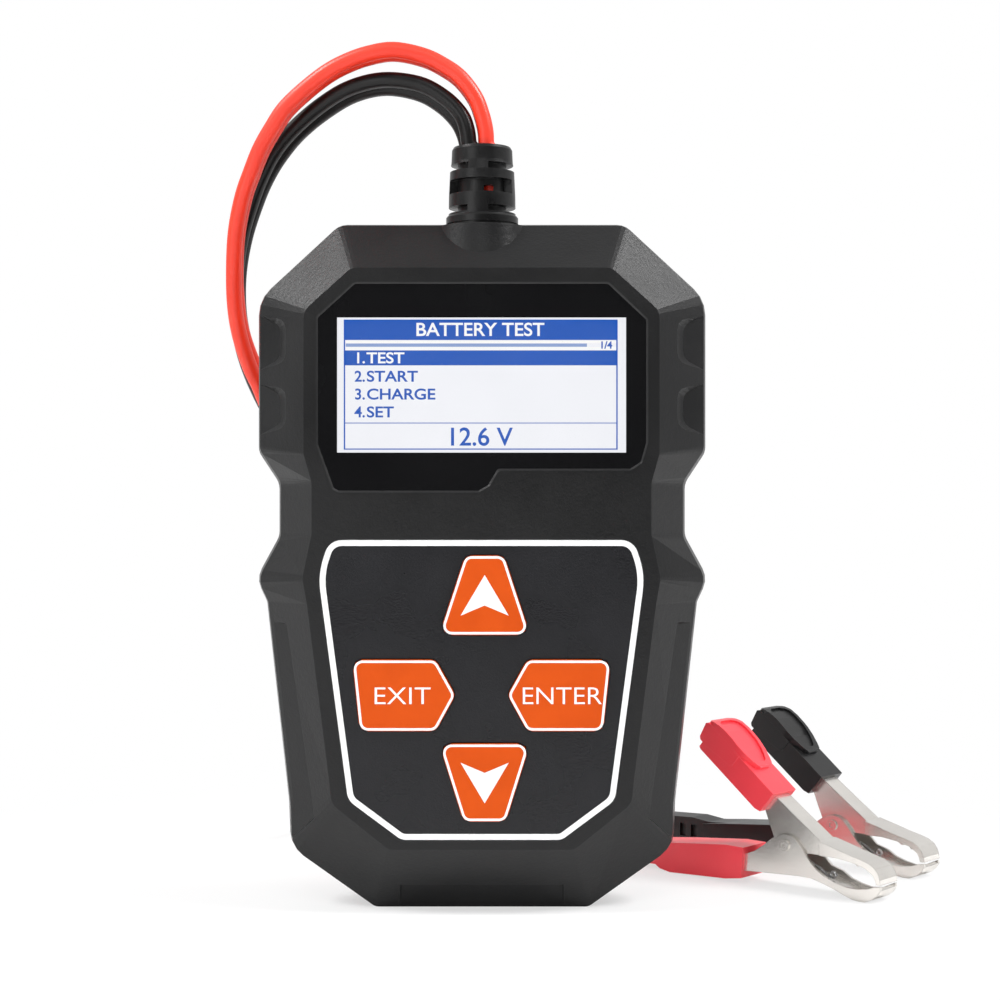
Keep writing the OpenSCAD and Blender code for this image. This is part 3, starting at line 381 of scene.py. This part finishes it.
# %% The window: black print round a clear pane, one moulding
def window_material(view):
    """Glossy black, with the alpha dropped inside the display's opening."""
    m, t, p = new_material("window_gloss")
    values(p, Roughness=0.12, Specular_IOR_Level=0.22)
    tones = place_tones(t, (0.0045, 0.0045, 0.005), (0.006, 0.006, 0.0065), 60)
    where, split = add_node(t, "ShaderNodeTexCoord"), add_node(t, "ShaderNodeSeparateXYZ")
    link(t, (tones.outputs["Colour"], p.inputs["Base Color"]), (where.outputs["Object"], split.inputs[0]))
    tests = []
    for axis, (low, high) in zip("XZ", view):
        test = add_node(t, "ShaderNodeMath", operation="COMPARE")
        test.inputs[1].default_value, test.inputs[2].default_value = (high + low) / 2, (high - low) / 2
        t.links.new(split.outputs[axis], test.inputs[0])
        tests.append(test)
    inside = add_node(t, "ShaderNodeMath", operation="MULTIPLY")
    clear = values(add_node(t, "ShaderNodeMapRange"), To_Min=1.0, To_Max=0.04)
    link(t, (tests[0].outputs[0], inside.inputs[0]), (tests[1].outputs[0], inside.inputs[1]),
         (inside.outputs[0], clear.inputs["Value"]), (clear.outputs["Result"], p.inputs["Alpha"]))
    return m


VIEW_X, VIEW_Z = (-25.1 * MM, 25.1 * MM), (80.2 * MM, 103.7 * MM)
window_gloss = window_material((VIEW_X, VIEW_Z))

# %% [markdown]
# ## Dressing the CAD pieces
# The solids have sharp edges, and real mouldings never do. A small bevel on each catches the
# light along every edge, which is what makes an edge read at all. Normals stay hard on the
# flats, so the facets of the shell keep their crisp planes.

# %% Soft shading across small bends, hard edges across large ones
def soft_bends(angle=32):
    g = bpy.data.node_groups.new("soft_bends", "GeometryNodeTree")
    for way in ("INPUT", "OUTPUT"):
        g.interface.new_socket("Geometry", in_out=way, socket_type="NodeSocketGeometry")
    start, end = add_node(g, "NodeGroupInput"), add_node(g, "NodeGroupOutput")
    smooth = add_node(g, "GeometryNodeSetShadeSmooth", domain="FACE")
    sharp = values(add_node(g, "GeometryNodeSetShadeSmooth", domain="EDGE"), Shade_Smooth=False)
    bend = add_node(g, "GeometryNodeInputMeshEdgeAngle")
    more = add_node(g, "FunctionNodeCompare", operation="GREATER_THAN")
    more.inputs[1].default_value = math.radians(angle)
    link(g, (bend.outputs["Unsigned Angle"], more.inputs[0]),
         (more.outputs["Result"], sharp.inputs["Selection"]),
         (start.outputs[0], smooth.inputs["Geometry"]), (smooth.outputs[0], sharp.inputs["Geometry"]),
         (sharp.outputs[0], end.inputs[0]))
    return g


SOFT_BENDS = soft_bends()

# %% Put a finish and a bevel on each CAD piece
def dress(node, material, bevel=0.0):
    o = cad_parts[node]
    o.data.materials.clear()
    o.data.materials.append(material)
    o.modifiers.new("soft_bends", "NODES").node_group = SOFT_BENDS
    if bevel:
        b = o.modifiers.new("edge", "BEVEL")
        b.width, b.segments = bevel * MM, 2
        b.limit_method, b.angle_limit = "ANGLE", math.radians(28)
        b.harden_normals = b.use_clamp_overlap = True


SCREWS_AND_DOMES = ("case_screws", "snap_domes", "pcb_screws", "grip_screws")
BLACK_PARTS = ("window_mask", "mcu_chip", "measuring_chips", "mosfets")
for node, material, bevel in (
        ("front_shell", shell_plastic, 0.3), ("rear_shell", shell_plastic, 0.3),
        ("window_lens", window_gloss, 0.12), ("lcd_frame", frame_white, 0), ("lcd_panel", screen_pale, 0),
        ("lcd_backlight", frame_white, 0), ("keypad_overlay", overlay_film, 0.06), ("pcb", board_green, 0),
        ("load_resistor", ceramic, 0.3), ("capacitors", can_blue, 0.3), ("buzzer", chip_black, 0.3),
        ("inner_wires_red", red_cable, 0), ("inner_wires_black", black_cable, 0),
        ("cord_boot", boot_rubber, 0.18), ("cord_grip", chip_black, 0.2)):
    dress(node, material, bevel)
for side in ("up", "down", "left", "right"):
    dress("key_" + side, key_orange, 0.1)
for node in SCREWS_AND_DOMES:
    dress(node, screw_zinc)
for node in BLACK_PARTS:
    dress(node, chip_black)
for colour, vinyl in (("red", red_vinyl), ("black", black_vinyl)):
    for node, material, bevel in (
            ("lower_arm", nickel, 0.1), ("upper_arm", nickel, 0.1), ("rivet", nickel, 0.12),
            ("spring", spring_steel, 0), ("lower_boot", vinyl, 0.35), ("upper_boot", vinyl, 0.35)):
        dress(colour + "_" + node, material, bevel)
for lead, cable in ((red_lead, red_cable), (black_lead, black_cable)):
    lead.data.materials.append(cable)
print("dressed", len(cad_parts), "nodes")

# %% [markdown]
# ## Print and display graphics
# Printed lines and figures are thin sheets that lie on their surface: the border of the
# keypad, the outlines round the keys, the arrowheads, and the bars and figures of the
# display. Each is cut as real geometry a few hundredths of a millimetre thick, so its edge
# stays sharp at any size.

# %% Flat print from outlines in X and Z
def rounded_outline(corners, radius, n=6):
    out, k = [], len(corners)
    for i in range(k):
        p, a, b = (Vector(corners[j % k]) for j in (i, i + k - 1, i + 1))
        r = radius[i] if isinstance(radius, (list, tuple)) else radius
        u, w = (a - p).normalized(), (b - p).normalized()
        half = math.acos(max(-1, min(1, u.dot(w)))) / 2
        c = p + (u + w).normalized() * (r / math.sin(half))
        q0, q1 = p + u * (r / math.tan(half)), p + w * (r / math.tan(half))
        a0, a1 = math.atan2(*(q0 - c).yx), math.atan2(*(q1 - c).yx)
        turn = (a1 - a0 + math.pi) % (2 * math.pi) - math.pi
        turns = [a0 + turn * s / n for s in range(n + 1)]
        out += [(c.x + r * math.cos(a), c.y + r * math.sin(a)) for a in turns]
    return out


def offset_outline(corners, d):
    """Moves each side of an outline outwards by d (inwards if negative)."""
    area = sum(a[0] * b[1] - b[0] * a[1] for a, b in zip(corners, corners[1:] + corners[:1]))
    side, out, k = (1 if area > 0 else -1), [], len(corners)
    for i in range(k):
        p, q, s = (Vector(corners[j % k]) for j in (i + k - 1, i, i + 1))
        e1, e2 = (q - p).normalized(), (s - q).normalized()
        n1, n2 = Vector((e1.y, -e1.x)) * side, Vector((e2.y, -e2.x)) * side
        out.append(tuple(q + (n1 + n2) * d / (1 + n1.dot(n2))))
    return out


def new_piece(name, mesh, material, body):
    """Puts a mesh into the scene as a piece of its own, riding on a body."""
    o = bpy.data.objects.new(name, mesh)
    bpy.context.collection.objects.link(o)
    mesh.materials.clear()
    mesh.materials.append(material)
    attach(o, body)
    return o


def finished_mesh(name, bm):
    """Turns a bmesh into a mesh whose faces all look outwards."""
    bmesh.ops.recalc_face_normals(bm, faces=bm.faces)
    mesh = bpy.data.meshes.new(name)
    bm.to_mesh(mesh)
    bm.free()
    return mesh


def sheet_print(name, pieces, y, thick, material, body, slot):
    """pieces: (outline, hole outline or None) in millimetres; a closed thin sheet in front of y."""
    bm = bmesh.new()
    for outer, hole in pieces:
        loops = [[bm.verts.new((x * MM, depth * MM, z * MM)) for x, z in loop]
                 for depth in (y, y - thick) for loop in (outer, hole) if loop]
        n = len(outer)
        if hole:
            # round the four loops: back, outer edge, front, inner edge
            back_o, back_h, front_o, front_h = loops
            around = (back_h, back_o, front_o, front_h, back_h)
        else:
            back, front = loops
            bm.faces.new(back)
            bm.faces.new(list(reversed(front)))
            around = (back, front)
        for a, b in zip(around, around[1:]):
            for i in range(n):
                j = (i + 1) % n
                bm.faces.new((a[i], a[j], b[j], b[i]))
    new_piece(name, finished_mesh(name, bm), material, body)


def line_ring(corners, radius, width, n=6):
    """An outline and its inner twin, width apart, with matching points."""
    radii = radius if isinstance(radius, list) else [radius] * len(corners)
    inner = rounded_outline(offset_outline(corners, -width), [max(0.15, v - width) for v in radii], n)
    return rounded_outline(corners, radius, n), inner


# %% Words and figures as thin sheets
CAPITALS = 0.7  # height of the capitals as a share of the font's size


def lettering(name, words, y, thick, material, body, slot, bold=0.0):
    """words: (text, height of capitals, x, z of baseline, align, stretch) in millimetres."""
    bm = bmesh.new()
    for text, height, x, z, align, stretch in words:
        c = bpy.data.curves.new(name, "FONT")
        c.body, c.align_x, c.size = text, align, height / CAPITALS * MM
        c.extrude, c.offset = thick / 2 * MM, bold * MM
        o = bpy.data.objects.new(name, c)
        bpy.context.collection.objects.link(o)
        o.rotation_euler, o.scale = (math.radians(90), 0, 0), (stretch, 1, 1)
        o.location = (x * MM, (y - thick / 2) * MM, z * MM)
        bpy.context.view_layer.update()
        mesh = bpy.data.meshes.new_from_object(o)
        mesh.transform(o.matrix_world)
        bpy.data.objects.remove(o)
        bm.from_mesh(mesh)
        bpy.data.meshes.remove(mesh)
    joined = bpy.data.meshes.new(name)
    bm.to_mesh(joined)
    bm.free()
    for p in joined.polygons:
        p.material_index = 0
    new_piece(name, joined, material, body)


def bar(x0, x1, z0, z1):
    return [(x0, z0), (x1, z0), (x1, z1), (x0, z1)]


# %% The display graphics
GLASS_Y = -10.3
SCREEN = ("tester", "screen")
THIN, THINNER = 0.02, 0.015  # how thick the graphics lie on the glass
CAP, BOLD = 1.85, 0.05
NUMBER_X, WORD_X = -22.1, -20.0


def menu_row(number, word, z):
    return [(number, CAP, NUMBER_X, z, "LEFT", 1), (word, CAP, WORD_X, z, "LEFT", 1.15)]


sheet_print("display_blue", [
    (bar(-23.85, 23.55, 99.8, 103.35), None), (bar(-23.85, 23.55, 95.4, 98.0), None),
    (bar(-23.95, 23.65, 80.75, 103.35), bar(-23.7, 23.4, 80.95, 103.15)),
    (bar(-23.7, 23.4, 85.3, 85.45), None)], GLASS_Y, THIN, screen_blue, *SCREEN)
sheet_print("display_progress", [(bar(-23.6, 18.3, 98.62, 99.2), None)],
            GLASS_Y, THIN, screen_soft, *SCREEN)
sheet_print("display_white_rows", [
    (bar(-23.7, 23.4, 99.25, 99.8), None), (bar(-23.7, 23.4, 98.0, 98.6), None)],
    GLASS_Y, THINNER, screen_white, *SCREEN)
lettering("display_white_words",
          [("BATTERY TEST", 2.25, -0.3, 100.55, "CENTER", 1.06)] + menu_row("1.", "TEST", 95.8),
          GLASS_Y - THIN, THIN, screen_white, *SCREEN, BOLD)
lettering("display_blue_words",
          menu_row("2.", "START", 92.6) + menu_row("3.", "CHARGE", 89.5) + menu_row("4.", "SET", 86.4)
          + [("1/4", 1.2, 22.7, 98.35, "RIGHT", 1), ("12.6 V", 3.1, -0.4, 81.5, "CENTER", 1)],
          GLASS_Y, THIN, screen_blue, *SCREEN, BOLD)

# %% The window's rim: the small chamfer round its recess
def rim(name, outer, inner, y0, y1, material):
    bm = bmesh.new()
    loops = [[bm.verts.new((x * MM, y * MM, z * MM)) for x, z in loop]
             for loop, y in ((outer, y0), (inner, y1), (outer, y1))]
    n = len(outer)
    for a, b in zip(loops, loops[1:] + loops[:1]):
        for i in range(n):
            bm.faces.new((a[i], a[(i + 1) % n], b[(i + 1) % n], b[i]))
    new_piece(name, finished_mesh(name, bm), material, "tester")


WINDOW = [
    (-25.8, 73.9), (-24.8, 73.3), (-0.4, 73.3), (1.4, 74.4), (3, 77.1), (25.8, 77.1), (27.8, 78.4),
    (28.8, 81.9), (28.8, 103.3), (22, 109.7), (-22, 109.7), (-28.6, 103.7), (-28.6, 81.6)]
WINDOW_R = [0.4, 0.4, 1.2, 1, 1, 0.8, 0.8, 1, 1, 1, 1, 1, 1]
RIM_FRONT, RIM_BACK = -12.12, -11.9
RIM_OUT, RIM_IN = 0.02, -0.32  # how far the chamfer reaches past the outline, and inside it
rim("window_rim", rounded_outline(offset_outline(WINDOW, RIM_OUT), WINDOW_R),
    rounded_outline(offset_outline(WINDOW, RIM_IN), [max(0.2, v - 0.3) for v in WINDOW_R]),
    RIM_FRONT, RIM_BACK, shell_plastic)

# %% The keypad print
PRINT = 0.03  # how thick the print lies
OVER_Y, KEY_Y = -11.9, -12.58
OVER_HALF = [(13.9, 13.1), (23.2, 20.0), (28.4, 59.2), (26.4, 65.2)]
OVER = OVER_HALF + [(-x, z) for x, z in reversed(OVER_HALF)]
OVER_R = [2.5, 3, 13, 3, 3, 13, 3, 2.5]
LEFT = [(-21, 32.1), (-7.9, 32.1), (-4.5, 38.3), (-7.9, 44.4), (-22.3, 44.4)]
KEYS = {"up": [(-7.3, 48.7), (8.4, 48.7), (3.9, 62.4), (-2.8, 62.4)],
        "down": [(-3.1, 16.5), (4.2, 16.5), (8.4, 29.9), (-7.3, 29.9)],
        "left": LEFT, "right": [(-x, z) for x, z in reversed(LEFT)]}
ARROWS = {"up": [(0.55, 59.05), (-3.6, 52.05), (0.55, 53.8), (4.7, 52.05)],
          "down": [(0.55, 19.65), (4.7, 26.65), (0.55, 24.9), (-3.6, 26.65)]}
LEGENDS = {"left": ("EXIT", 3.0, -13.75, 36.75, "CENTER", 1.15),
           "right": ("ENTER", 3.0, 13.8, 36.75, "CENTER", 1.10)}
KEY_R = 1.6
sheet_print("keypad_border", [line_ring(offset_outline(OVER, -0.12), OVER_R, 1.02)],
            OVER_Y, PRINT, white_print, "tester", "overlay")
for side, outline in KEYS.items():
    sheet_print("outline_" + side, [line_ring(offset_outline(outline, -0.1), KEY_R - 0.1, 0.42)],
                KEY_Y, PRINT, white_print, "key_" + side + "_button", "key")
for side, outline in ARROWS.items():
    sheet_print("arrow_" + side, [(outline, None)],
                KEY_Y, PRINT, white_print, "key_" + side + "_button", "key")
for side, legend in LEGENDS.items():
    lettering("legend_" + legend[0].lower(), [legend], KEY_Y - PRINT, PRINT,
              white_print, "key_" + side + "_button", "key", -0.03)

# %% [markdown]
# ## The springs
# The clip's spring is a torsion spring: a few turns of round wire about the rivet, with one
# leg on each arm. The CAD holds its place as a tube; here the wire is wound.

# %% Wind a torsion spring about the rivet
PU, PV = -16.4, 8.3  # the rivet, along the clip and up
WIRE_R, COIL_R, TURNS = 0.25, 1.27, 4.25
COIL_W0, COIL_W1 = 1.75, 4.25  # where the coil starts and ends across the clip
COIL_START, PER_TURN = math.radians(-70), 16
EYE_U, EYE_V, EYE_R = -7.05, 3.75, 0.55  # the small eye that ends the lower leg


def torsion_spring(name, at, node, body):
    loop = [math.radians(a) for a in range(200, -91, -24)]
    pts = [(EYE_U + EYE_R * math.cos(a), COIL_W0, EYE_V + EYE_R * math.sin(a)) for a in loop]
    pts += [(-8.4, COIL_W0, 3.55), (-10.0, COIL_W0, 4.7), (-12.6, COIL_W0, 5.9)]
    for i in range(int(TURNS * PER_TURN) + 1):
        a = COIL_START + i / PER_TURN * 2 * math.pi
        w = COIL_W0 + (COIL_W1 - COIL_W0) * i / (TURNS * PER_TURN)
        pts.append((PU + COIL_R * math.cos(a), w, PV + COIL_R * math.sin(a)))
    pts += [(-12.4, COIL_W1, 10.75)]
    c = bpy.data.curves.new(name, "CURVE")
    c.dimensions, c.bevel_depth, c.bevel_resolution, c.use_fill_caps = "3D", WIRE_R * MM, 3, True
    s = c.splines.new("POLY")
    s.points.add(len(pts) - 1)
    for point, (u, w, v) in zip(s.points, pts):
        point.co = (*(on_clip(at, u, w, v) * MM), 1)
    wound = bpy.data.objects.new(name, c)
    bpy.context.collection.objects.link(wound)
    bpy.context.view_layer.update()
    mesh = bpy.data.meshes.new_from_object(wound)
    bpy.data.objects.remove(wound)
    mesh.shade_smooth()
    o = new_piece(name, mesh, spring_steel, body)
    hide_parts(node)


torsion_spring("red_wound_spring", RED_AT, "red_spring", "tester")
torsion_spring("black_wound_spring", BLACK_AT, "black_spring", "tester")

# %% [markdown]
# ## Bench, backdrop and light
# The bench and backdrop are plain and pale. What the camera sees of them is white, while the
# light on the tester stays moderate: a soft box high on each side for the slanted shoulders,
# a broad fill above the camera, a gentle one low on the left, and a pale world.

# %% Bench: plain near the tester, pure white for the camera farther off
def bench_material(near, far, veil):
    """veil: how much white the camera sees over the bench close to the tester, 0 to 1."""
    m, t, p = new_material("bench_white")
    values(p, Base_Color=(0.88, 0.88, 0.88, 1), Roughness=0.7, Specular_IOR_Level=0.1)
    where = add_node(t, "ShaderNodeTexCoord")
    reach = add_node(t, "ShaderNodeVectorMath", operation="LENGTH")
    fade = values(add_node(t, "ShaderNodeMapRange", interpolation_type="SMOOTHSTEP"),
                  From_Min=near, From_Max=far, To_Min=veil, To_Max=1.0)
    ray, seen = add_node(t, "ShaderNodeLightPath"), add_node(t, "ShaderNodeMath", operation="MULTIPLY")
    white, mix = add_node(t, "ShaderNodeEmission"), add_node(t, "ShaderNodeMixShader")
    link(t, (where.outputs["Object"], reach.inputs[0]), (reach.outputs["Value"], fade.inputs["Value"]),
         (fade.outputs["Result"], seen.inputs[0]), (ray.outputs["Is Camera Ray"], seen.inputs[1]),
         (seen.outputs[0], mix.inputs[0]), (p.outputs[0], mix.inputs[1]), (white.outputs[0], mix.inputs[2]),
         (mix.outputs[0], t.nodes["Material Output"].inputs[0]))
    return m


def bench(size, material):
    bm = bmesh.new()
    bmesh.ops.create_grid(bm, x_segments=1, y_segments=1, size=size)
    mesh = bpy.data.meshes.new("bench")
    bm.to_mesh(mesh)
    bm.free()
    mesh.materials.append(material)
    o = bpy.data.objects.new("bench", mesh)
    bpy.context.collection.objects.link(o)


bench(size=1.2, material=bench_material(near=0.01, far=0.15, veil=0.55))

# %% World: white behind, bright at the sides and above, dark in front for what the faces mirror
LIT = (1, 1, 1, 1)
world = bpy.data.worlds.new("studio")
bpy.context.scene.world = world
world.use_nodes = True
wt = world.node_tree
diffuse = values(wt.nodes["Background"], Color=LIT, Strength=0.52)
mirrored = values(add_node(wt, "ShaderNodeBackground"), Color=LIT)
seen_white = values(add_node(wt, "ShaderNodeBackground"), Color=LIT)
towards, parts = add_node(wt, "ShaderNodeTexCoord"), add_node(wt, "ShaderNodeSeparateXYZ")
sweep = values(add_node(wt, "ShaderNodeMapRange"), From_Min=-0.75, From_Max=0.15, To_Min=0.09, To_Max=0.72)
ray, either = add_node(wt, "ShaderNodeLightPath"), add_node(wt, "ShaderNodeMath", operation="MAXIMUM")
mix_gloss, mix_seen = add_node(wt, "ShaderNodeMixShader"), add_node(wt, "ShaderNodeMixShader")
link(wt,
     (towards.outputs["Generated"], parts.inputs[0]), (parts.outputs["Y"], sweep.inputs["Value"]),
     (sweep.outputs["Result"], mirrored.inputs["Strength"]),
     (ray.outputs["Is Glossy Ray"], mix_gloss.inputs[0]),
     (diffuse.outputs[0], mix_gloss.inputs[1]), (mirrored.outputs[0], mix_gloss.inputs[2]),
     (ray.outputs["Is Camera Ray"], either.inputs[0]), (ray.outputs["Is Transmission Ray"], either.inputs[1]),
     (either.outputs[0], mix_seen.inputs[0]),
     (mix_gloss.outputs[0], mix_seen.inputs[1]), (seen_white.outputs[0], mix_seen.inputs[2]),
     (mix_seen.outputs[0], wt.nodes["World Output"].inputs[0]))


# %% Lamps
def soft_lamp(name, place, target, size, watts):
    lamp = bpy.data.lights.new(name, "AREA")
    lamp.shape, lamp.size, lamp.energy = "SQUARE", size, watts
    o = bpy.data.objects.new(name, lamp)
    o.location = place
    o.rotation_euler = (Vector(target) - Vector(place)).to_track_quat("-Z", "Y").to_euler()
    bpy.context.collection.objects.link(o)


soft_lamp("left_box", (-0.54, -0.12, 0.66), (0, 0, 0.08), 0.26, 4.8)
soft_lamp("right_box", (0.54, -0.12, 0.66), (0, 0, 0.08), 0.26, 5.4)
soft_lamp("front_fill", (0.0, -0.75, 0.75), (0, 0, 0.05), 0.5, 1.7)
soft_lamp("left_fill", (-0.50, -0.62, 0.20), (0.06, 0, 0.02), 0.4, 1.2)
print("lamps:", len(bpy.data.lights))
